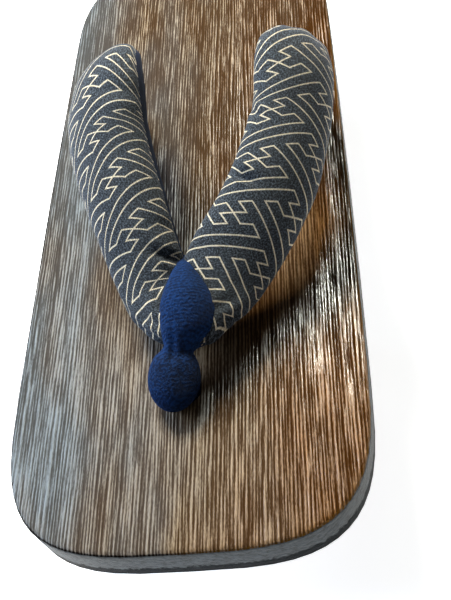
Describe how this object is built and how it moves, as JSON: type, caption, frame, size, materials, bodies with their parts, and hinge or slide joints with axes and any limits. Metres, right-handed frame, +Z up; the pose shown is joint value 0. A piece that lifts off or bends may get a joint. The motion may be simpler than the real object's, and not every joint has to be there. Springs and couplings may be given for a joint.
{
  "type": "geta sandal",
  "caption": "Wooden geta sandal: a rounded footboard on cross teeth, with a padded V-shaped thong held by a velvet toe loop and knotted underneath.",
  "frame": {"origin": "bottom centre of the bounding box, on the floor under the middle of the board", "axes": "+Z up, the toe end points along -Y and the heel along +Y, X across the foot"},
  "size_m": [0.1052, 0.255, 0.0981],
  "materials": {
    "brushed_wood": "brushed grain, dark stain, worn gloss",
    "tooth_wood": "planed, dark stain, satin",
    "thong_cloth": "woven cotton with a pale fret pattern",
    "loop_velvet": "ribbed cotton velvet",
    "tie_cord": "twisted cotton cord"
  },
  "bodies": {
    "root": {"dai": "brushed_wood", "front_tooth": "tooth_wood", "rear_tooth": "tooth_wood", "hanao": "thong_cloth", "maetsubo": "loop_velvet", "front_knot": "tie_cord", "rear_ties": "tie_cord"}
  },
  "joints": []
}
